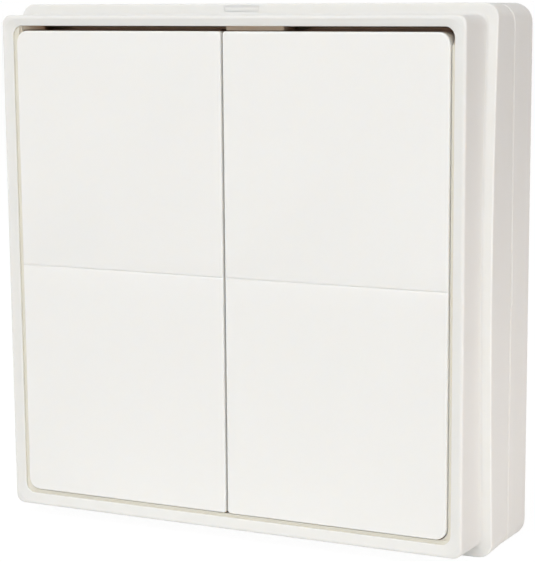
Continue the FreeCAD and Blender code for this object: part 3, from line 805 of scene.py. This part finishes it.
# Lacquered board: tracks and copper areas under the lacquer, glass cloth at its finest
def lacqueredBoard(name, bare, copper, look):
    material, tree, shader = newMaterial(name, bare, look["satin"])
    flat = treeNode(tree, "ShaderNodeMapping", {
        "Vector": objectPlace(tree), "Rotation": (math.pi / 2, 0, 0), "Scale": [1 / mm] * 3})
    tracks = treeNode(tree, "ShaderNodeTexBrick", {
        "Vector": flat, "Scale": 1.0, "Brick Width": look["trackRun"], "Row Height": look["trackPitch"],
        "Mortar Size": look["trackWidth"] / 2, "Mortar Smooth": look["trackSoft"]},
        {"offset": look["trackStep"], "offset_frequency": 2}, "Fac")
    size = look["fieldSize"]
    fields = treeNode(tree, "ShaderNodeVectorMath", {
        0: flat, 1: (size, size * look["fieldShape"], look["fieldThick"])}, {"operation": "SNAP"})
    dice = treeNode(tree, "ShaderNodeTexWhiteNoise", {"Vector": fields}, output="Value")
    drawn = calc(tree, "MULTIPLY", tracks, spread(tree, dice, 1, 0, *look["routed"]))
    both = calc(tree, "MAXIMUM", drawn, spread(tree, dice, 0, 1, *look["poured"]))
    weave = noiseOf(tree, look["weaveSize"], detail=1.0)
    cloth = bumpOf(tree, weave, look["weaveDepth"])
    smoother, rougher = look["satinSwing"]
    feed(shader, {
        "Base Color": mixed(tree, both, bare, copper),
        "Roughness": spread(tree, weave, look["satin"] - smoother, look["satin"] + rougher),
        "Normal": bumpOf(tree, both, look["trackDepth"], cloth)})
    return material


# Small ceramic part with tinned ends along X, and a glazed top where it has one
def dressCeramic(name, colour, node, endWidth, glaze=None):
    material = mouldedPlastic(name, colour, **ceramicLook)
    tree = material.node_tree
    shader = tree.nodes["Principled BSDF"]
    low, high = boxOf(node)
    ends = beyond(tree, 0, (low.x + high.x) / 2, (high.x - low.x) / 2 - endWidth, True)
    body = shader.inputs["Base Color"].links[0].from_socket
    if glaze:
        body = mixed(tree, beyond(tree, 1, high.y, -tinLook["glazeDepth"], False), body, glaze)
    feed(shader, {"Base Color": mixed(tree, ends, body, tinLook["colour"]), "Metallic": ends})
    dress(material, node)


metals = {name: drawnMetal(name, *look) for name, look in innerMetals.items()}
plastics = {name: mouldedPlastic(name, colour, **changes) for name, (colour, changes) in innerPlastics.items()}
greenBoard = lacqueredBoard("greenBoard", (0.012, 0.13, 0.045), (0.03, 0.22, 0.08), boardLook)
blueBoard = lacqueredBoard("blueBoard", (0.012, 0.05, 0.2), (0.03, 0.1, 0.3), {
    **boardLook, "trackPitch": 0.8, "trackWidth": 0.16, "trackRun": 4.0, "fieldSize": 4.0})
pressPoints = [(end + "_" + side, x, z) for side, x in (("left", -keyMiddle), ("right", keyMiddle))
               for end, z in (("upper", pressZ), ("lower", -pressZ))]
dress(carrierPlastic, "rocker_carrier")
dress(metals["pinSteel"], "left_pivot_pin", "right_pivot_pin")
dress(plastics["plungerPlastic"], *[name + "_plunger" for name, x, z in pressPoints])
dress(greenBoard, "circuit_board")
dress(blueBoard, "radio_module")
dress(plastics["holderPlastic"], "coin_cell_holder")
dress(metals["cellSteel"], "coin_cell")
dress(metals["contactNickel"], "cell_negative_contact", "cell_positive_clip")
dress(metals["shieldTin"], "radio_shield")
dress(metals["canNickel"], "crystal")
dress(plastics["antennaCeramic"], "antenna")
dress(plastics["chipResin"], "controller_chip")
dressCeramic("capacitorCeramic", (0.5, 0.34, 0.18), "capacitors", 0.4)
dressCeramic("resistorCeramic", (0.75, 0.75, 0.72), "resistors", 0.32, (0.015, 0.015, 0.017))
print("inner parts dressed")


# Starts a tree with its geometry and the named values as inputs
def newTree(name, values):
    tree = bpy.data.node_groups.new(name, "GeometryNodeTree")
    for way in ("INPUT", "OUTPUT"):
        tree.interface.new_socket("Geometry", in_out=way, socket_type="NodeSocketGeometry")
    kinds = {float: "Float", int: "Int", tuple: "Vector", bpy.types.Material: "Material"}
    for label, value in values.items():
        socket = tree.interface.new_socket(label, in_out="INPUT", socket_type="NodeSocket" + kinds[type(value)])
        socket.default_value = value
    return tree, tree.nodes.new("NodeGroupInput").outputs


# Ends a tree with real geometry and its material
def closeTree(tree, geometry, given):
    real = treeNode(tree, "GeometryNodeRealizeInstances", {"Geometry": geometry})
    finished = treeNode(tree, "GeometryNodeSetMaterial", {"Geometry": real, "Material": given["Material"]})
    feed(tree.nodes.new("NodeGroupOutput"), {0: finished})
    return tree


# Runs a tree on a piece, or on an empty one, and keeps the plain mesh
def grown(name, tree, values, base=None):
    piece = base or newObject(name, bpy.data.meshes.new(name))
    piece.name = name
    step = piece.modifiers.new("grow", "NODES")
    step.node_group = tree
    for item in tree.interface.items_tree:
        if item.item_type == "SOCKET" and item.in_out == "INPUT" and item.name in values:
            step[item.identifier] = values[item.name]
    applyStep(piece, step)
    return piece


upright = (math.pi / 2, 0.0, 0.0)


def moved(tree, geometry, place, turn):
    return treeNode(tree, "GeometryNodeTransform", {
        "Geometry": geometry, "Translation": place, "Rotation": turn})


def swept(tree, curve, section):
    return treeNode(tree, "GeometryNodeCurveToMesh", {
        "Curve": curve, "Profile Curve": section, "Fill Caps": True})


def copied(tree, points, piece, turn=(0.0, 0.0, 0.0)):
    return treeNode(tree, "GeometryNodeInstanceOnPoints", {
        "Points": points, "Instance": piece, "Rotation": turn})


# Points in columns along X and rows along Z
def gridOf(tree, across, height, columns, rows, place):
    grid = treeNode(tree, "GeometryNodeMeshGrid", {
        "Size X": across, "Size Y": height, "Vertices X": columns, "Vertices Y": rows})
    return moved(tree, grid, place, upright)


# Return springs: a spiral along Y whose end coils lie closed
springSizes = {
    "coilR": 3.22,
    "wireR": 0.22,
    "turns": 4.5,
    "endCoils": 1.0,
    "pointsPerTurn": 28,
    "wireSides": 10,
    "frontY": 6.22,  # middle of the wire, behind the crest of the rim
    "backY": 9.73,
}


def springTree(values, closedPitch=2.04):
    tree, given = newTree("returnSpring", values)
    points = treeNode(tree, "GeometryNodeCurvePrimitiveLine", {"Start": (0, 0, 0), "End": (0, 1, 0)})
    points = treeNode(tree, "GeometryNodeResampleCurve", {"Curve": points, "Count": given["Points"]})
    share = treeNode(tree, "GeometryNodeSplineParameter", {})
    turn = product(tree, share, given["Turns"], 2 * math.pi)
    endShare = calc(tree, "DIVIDE", given["End Coils"], given["Turns"])
    restShare = calc(tree, "SUBTRACT", 1.0, endShare)
    endRise = product(tree, given["Wire Radius"], closedPitch, given["End Coils"])
    openRise = calc(tree, "SUBTRACT", given["Length"], product(tree, endRise, 2.0))
    # rise: closed coil, open coils, closed coil
    first = spread(tree, share, 0.0, endRise, 0.0, endShare)
    between = spread(tree, share, 0.0, openRise, endShare, restShare)
    last = spread(tree, share, 0.0, endRise, restShare, 1.0)
    rise = calc(tree, "ADD", calc(tree, "ADD", first, between), last)
    x, z = [product(tree, calc(tree, way, turn), given["Coil Radius"]) for way in ("COSINE", "SINE")]
    coil = vectorOf(tree, X=x, Y=rise, Z=z)
    placed = treeNode(tree, "ShaderNodeVectorMath", {0: coil, 1: given["Place"]})
    points = treeNode(tree, "GeometryNodeSetPosition", {"Geometry": points, "Position": placed})
    wire = treeNode(tree, "GeometryNodeCurvePrimitiveCircle", {
        "Resolution": given["Sides"], "Radius": given["Wire Radius"]})
    return closeTree(tree, swept(tree, points, wire), given)


def makeSprings(s):
    y0, y1 = frontY + s["frontY"], frontY + s["backY"]
    values = {
        "Coil Radius": s["coilR"] * mm, "Wire Radius": s["wireR"] * mm, "Turns": s["turns"],
        "End Coils": s["endCoils"], "Length": (y1 - y0) * mm, "Place": (0.0, y0 * mm, 0.0),
        "Points": int(s["turns"] * s["pointsPerTurn"] + 1), "Sides": s["wireSides"],
        "Material": metals["springSteel"]}
    tree = springTree(values)
    for name, x, z in pressPoints:
        values["Place"] = (x * mm, y0 * mm, z * mm)
        spring = grown(name + "ReturnSpring", tree, values)
        settle(spring, metals["springSteel"], "spring_steel", name + "_return_spring", body=None, degrees=50)
        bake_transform(spring)


makeSprings(springSizes)
print("return springs ready")

# Contact domes: thin snapping discs on the board
domeSizes = {
    "flangeR": 3.6,
    "capR": 3.3,
    "height": 0.35,
    "sheet": 0.1,
    "dimpleR": 0.7,
    "dimple": 0.06,
    "poleR": 0.02,  # of the small face in the middle
    "rings": 24,
    "pressed": 0.2,  # share of its height that is left
}


def makeDomes(s):
    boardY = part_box("circuit_board")[0].y / mm
    topY = boardY - s["height"]
    rise = s["height"] - s["sheet"]
    ballR = (s["capR"] ** 2 + rise ** 2) / (2 * rise)
    over = []
    for k in range(s["rings"] + 1):
        r = s["poleR"] + (s["capR"] - s["poleR"]) * k / s["rings"]
        sink = s["dimple"] * math.exp(-(r / s["dimpleR"]) ** 2 * 2)
        over.append((r, topY + ballR - math.sqrt(ballR ** 2 - r * r) + sink))
    over.append((s["flangeR"], boardY - s["sheet"]))
    under = [(r, y + s["sheet"]) for r, y in over]
    for name, x, z in pressPoints:
        dome = turned(name + "ContactDome", over + under[::-1], x, z, sides=72)
        settle(dome, metals["springSteel"], "spring_steel", name + "_contact_dome")
        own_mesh(dome)


makeDomes(domeSizes)
print("contact domes ready")

# Screws: one pan head with a cross recess, its thread wound on and four of it set out
screwSizes = {
    "headR": 1.6,
    "headHeight": 1.1,
    "headCrown": 0.25,
    "headSoft": 0.06,
    "crownSteps": 6,
    "coreR": 0.84,
    "coreFlare": 0.12,  # under the head
    "tip": 0.5,
    "tipR": 0.3,
    "tipSoft": 0.1,
    "threadR": 0.15,
    "threadStart": 0.3,
    "pitch": 0.5,
    "recessHalf": 0.98,
    "recessRootHalf": 0.6,
    "recessWidth": 0.24,
    "recessDepth": 0.62,
    "recessPast": 0.05,
}


def screwTree(values):
    tree, given = newTree("screwSet", values)
    spiral = treeNode(tree, "GeometryNodeCurveSpiral", {
        "Resolution": 16, "Rotations": given["Turns"], "Start Radius": given["Core Radius"],
        "End Radius": given["Core Radius"], "Height": given["Length"]})
    edge = treeNode(tree, "GeometryNodeCurvePrimitiveCircle", {
        "Resolution": 4, "Radius": given["Thread Radius"]})
    thread = moved(tree, swept(tree, spiral, edge), vectorOf(tree, Y=given["Start"]), upright)
    screw = tree.nodes.new("GeometryNodeJoinGeometry")
    for part in (given["Geometry"], thread):
        feed(screw, {0: part})
    corners = gridOf(tree, given["Across"], given["Height"], 2, 2, vectorOf(tree, Y=given["Seat"]))
    facing = vectorOf(tree, Z=given["Turn"])
    return closeTree(tree, copied(tree, corners, screw.outputs[0], facing), given)


def screwBlank(s, length):
    core, head, flare, soft = s["coreR"], s["headR"], s["coreFlare"], s["headSoft"]
    profile = [(s["tipR"], -length), (core - s["tipSoft"], s["tip"] / 2 - length), (core, s["tip"] - length),
               (core, -flare), (core + flare, 0), (head - soft, 0), (head, soft)]
    side, crown = s["headHeight"] - s["headCrown"], s["headCrown"]
    for k in range(s["crownSteps"] + 1):
        turn = math.pi / 2 * k / s["crownSteps"]
        profile.append((head - crown * (1 - math.cos(turn)), side + crown * math.sin(turn)))
    blank = turned("screw", profile, 0, 0, sides=40)
    top, floor = s["headHeight"] + s["recessPast"], s["headHeight"] - s["recessDepth"]
    half = s["recessWidth"]
    for turn in (0, 1):
        rings = []
        for y, reach in ((floor, s["recessRootHalf"]), (top, s["recessHalf"])):
            ring = [(-reach, -half), (reach, -half), (reach, half), (-reach, half)]
            rings.append([(v, y, u) if turn else (u, y, v) for u, v in ring])
        carve(blank, skin("tool", rings))
    return blank


def makeScrews(s):
    tree = None
    sets = (("boardScrewSet", "board_screws", 0.0), ("carrierScrewSet", "carrier_screws", math.pi))
    for name, node, turn in sets:
        low, high = boxOf(node)
        length = high.y - low.y - s["headHeight"]
        seat = low.y + s["headHeight"] if turn else high.y - s["headHeight"]
        run = length - s["tip"] - s["threadStart"]
        values = {
            "Core Radius": s["coreR"] * mm, "Thread Radius": s["threadR"] * mm, "Turns": run / s["pitch"],
            "Length": run * mm, "Start": -s["threadStart"] * mm, "Seat": seat * mm, "Turn": turn,
            "Across": (high.x - low.x - 2 * s["headR"]) * mm, "Height": (high.z - low.z - 2 * s["headR"]) * mm,
            "Material": metals["screwZinc"]}
        tree = tree or screwTree(values)
        screws = grown(name, tree, values, screwBlank(s, length))
        settle(screws, metals["screwZinc"], "plated_screw", node)


makeScrews(screwSizes)
print("screws ready")

# Chip leads, module pads and test pads
leadSizes = {
    "perSide": 12,
    "pitch": 0.5,
    "width": 0.24,
    "thick": 0.12,
    "bend": [(3.35, 0.62), (3.85, 0.62), (4.0, 0.56), (4.1, 0.14), (4.22, 0.07), (4.75, 0.06)],
}
padSizes = {
    "moduleRows": 16,
    "modulePitch": 1.27,
    "moduleHalves": (0.5, 0.31),
    "modulePast": 0.08,
    "moduleSoft": 0.03,
    "testGrid": (5, 3),  # columns and rows
    "testPitch": 2.54,
    "testR": 0.65,
    "testSoft": 0.03,
    "testWall": 0.7,  # upright share of its edge
    "testBoreR": 0.3,
    "testPlace": (27.0, -26.0),
    "padThick": 0.06,
}


def leadTree(values):
    tree, given = newTree("leadRing", values)
    bend = treeNode(tree, "GeometryNodeMeshToCurve", {"Mesh": given["Geometry"]})
    section = treeNode(tree, "GeometryNodeCurvePrimitiveQuadrilateral", {
        "Width": given["Width"], "Height": given["Thickness"]})
    start = product(tree, calc(tree, "SUBTRACT", given["Per Side"], 1.0), given["Pitch"], -0.5)
    row = treeNode(tree, "GeometryNodeMeshLine", {
        "Count": given["Per Side"], "Start Location": vectorOf(tree, Z=start),
        "Offset": vectorOf(tree, Z=given["Pitch"])})
    leads = copied(tree, row, swept(tree, bend, section))
    four = treeNode(tree, "GeometryNodeMeshLine", {
        "Count": 4, "Start Location": given["Place"], "Offset": (0, 0, 0)})
    facing = vectorOf(tree, Y=product(tree, treeNode(tree, "GeometryNodeInputIndex", {}), math.pi / 2))
    return closeTree(tree, copied(tree, four, leads, facing), given)


def makeLeads(s):
    shape = bmesh.new()
    bend = [shape.verts.new(Vector((x, y, 0)) * mm) for x, y in s["bend"]]
    for one, two in zip(bend, bend[1:]):
        shape.edges.new((one, two))
    low, high = boxOf("controller_chip")
    place = Vector(((low.x + high.x) / 2, boardBackY, (low.z + high.z) / 2)) * mm
    values = {"Per Side": s["perSide"], "Pitch": s["pitch"] * mm, "Width": s["width"] * mm,
              "Thickness": s["thick"] * mm, "Place": tuple(place), "Material": metals["shieldTin"]}
    leads = grown("chipLeads", leadTree(values), values, toObject("lead", shape))
    settle(leads, metals["shieldTin"], "shield_tin")


def padField(name, pad, columns, rows, pitchX, pitchZ, place, metal, slot):
    values = {"Across": pitchX * (columns - 1) * mm, "Height": pitchZ * (rows - 1) * mm,
              "Columns": columns, "Rows": rows, "Place": tuple(Vector(place) * mm), "Material": metal}
    tree, given = newTree("padField", values)
    field = gridOf(tree, *[given[label] for label in list(values)[:5]])
    closeTree(tree, copied(tree, field, given["Geometry"]), given)
    settle(grown(name, tree, values, pad), metal, slot)


def makePads(s):
    low, high = boxOf("radio_module")
    halfX, halfZ = s["moduleHalves"]
    pad = block(-halfX, halfX, 0, high.y - low.y + s["padThick"], -halfZ, halfZ, s["moduleSoft"])
    across = high.x - low.x + 2 * (s["modulePast"] - halfX)
    padField("modulePads", pad, 2, s["moduleRows"], across, s["modulePitch"], (0, low.y, (low.z + high.z) / 2),
             metals["contactNickel"], "contact_nickel")
    bore, outer, thick = s["testBoreR"], s["testR"], s["padThick"]
    disc = [(bore, 0), (outer, 0), (outer, thick * s["testWall"]), (outer - s["testSoft"], thick), (bore, thick)]
    (x, z), pitch = s["testPlace"], s["testPitch"]
    pad = turned("pad", disc, 0, 0, sides=20)
    padField("testPads", pad, *s["testGrid"], pitch, pitch, (x, boardBackY, z), metals["shieldTin"], "shield_tin")


makeLeads(leadSizes)
makePads(padSizes)
print("leads and pads ready")

# Stage
stageLook = {
    "floorSize": 12.0,
    "floorColour": (0.86, 0.86, 0.86),
    "floorGlow": 0.95,  # share of white that the camera sees in the floor
    "floorShade": 0.1,  # and share of the light on it
    "skyStrength": 0.26,
    "skyColour": (1.0, 0.965, 0.95),
    # place, width and height, watts, colour
    "lamps": {
        "frontSoftbox": ((0.45, -1.5, 0.5), (1.0, 1.0), 6.65, (0.985, 0.995, 1)),
        "frontLamp": ((0.0, -1.6, 0.03), (0.16, 0.16), 3.8, (0.98, 0.99, 1)),
        "topSoftbox": ((0.0, -0.48, 1.15), (1.0, 0.6), 6.6, (0.975, 0.99, 1)),
        "rightSoftbox": ((1.2, -0.15, 0.1), (0.6, 0.6), 2.6, (1, 0.84, 0.77)),
        "leftSoftbox": ((-1.2, -0.15, 0.1), (0.6, 0.6), 3.4, (1, 0.925, 0.885)),
        "lowCard": ((0.11, -0.012, -0.025), (0.03, 0.015), 0.01, (1, 0.95, 0.92)),
    },
}


# White for camera, glossy and transmission rays, so that metal mirrors a white ground too
def whiteForRays(tree, plain, white):
    rays = tree.nodes.new("ShaderNodeLightPath").outputs
    total = rays["Is Camera Ray"]
    for label in ("Is Glossy Ray", "Is Transmission Ray"):
        total = calc(tree, "MAXIMUM", total, rays[label])
    return treeNode(tree, "ShaderNodeMixShader", {0: total, 1: plain, 2: white})


def makeFloor(look):
    material, tree, shader = newMaterial("paleFloor", look["floorColour"], roughness=0.8)
    glow = treeNode(tree, "ShaderNodeEmission", {"Strength": look["floorGlow"]})
    faint = treeNode(tree, "ShaderNodeBsdfDiffuse", {"Color": (*[look["floorShade"]] * 3, 1)})
    seen = treeNode(tree, "ShaderNodeAddShader", {0: glow, 1: faint})
    feed(tree.nodes["Material Output"], {"Surface": whiteForRays(tree, shader.outputs[0], seen)})
    shape = bmesh.new()
    bmesh.ops.create_grid(shape, x_segments=1, y_segments=1, size=look["floorSize"],
                          matrix=Matrix.Translation((0, 0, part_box("wall_plate")[0].z)))
    floor = toObject("floor", shape)
    floor.data.materials.append(material)


def makeSky(look):
    world = bpy.data.worlds.new("paleSky")
    bpy.context.scene.world = world
    world.use_nodes = True
    tree = world.node_tree
    soft = tree.nodes["Background"]
    feed(soft, {"Color": (*look["skyColour"], 1), "Strength": look["skyStrength"]})
    white = treeNode(tree, "ShaderNodeBackground", {"Color": (1, 1, 1, 1), "Strength": 1.0})
    feed(tree.nodes["World Output"], {"Surface": whiteForRays(tree, soft.outputs[0], white)})


def makeLamps(look):
    for name, (place, size, watts, colour) in look["lamps"].items():
        data = bpy.data.lights.new(name, "AREA")
        data.shape = "RECTANGLE"
        data.size, data.size_y = size
        data.energy = watts
        data.color = colour
        lamp = newObject(name, data)
        turn = (-Vector(place)).to_track_quat("-Z", "Y").to_matrix().to_4x4()
        lamp.matrix_world = Matrix.Translation(place) @ turn
        lamp.visible_camera = False


makeFloor(stageLook)
makeSky(stageLook)
makeLamps(stageLook)
print("stage ready")

bpy.context.scene.view_settings.view_transform = "Standard"
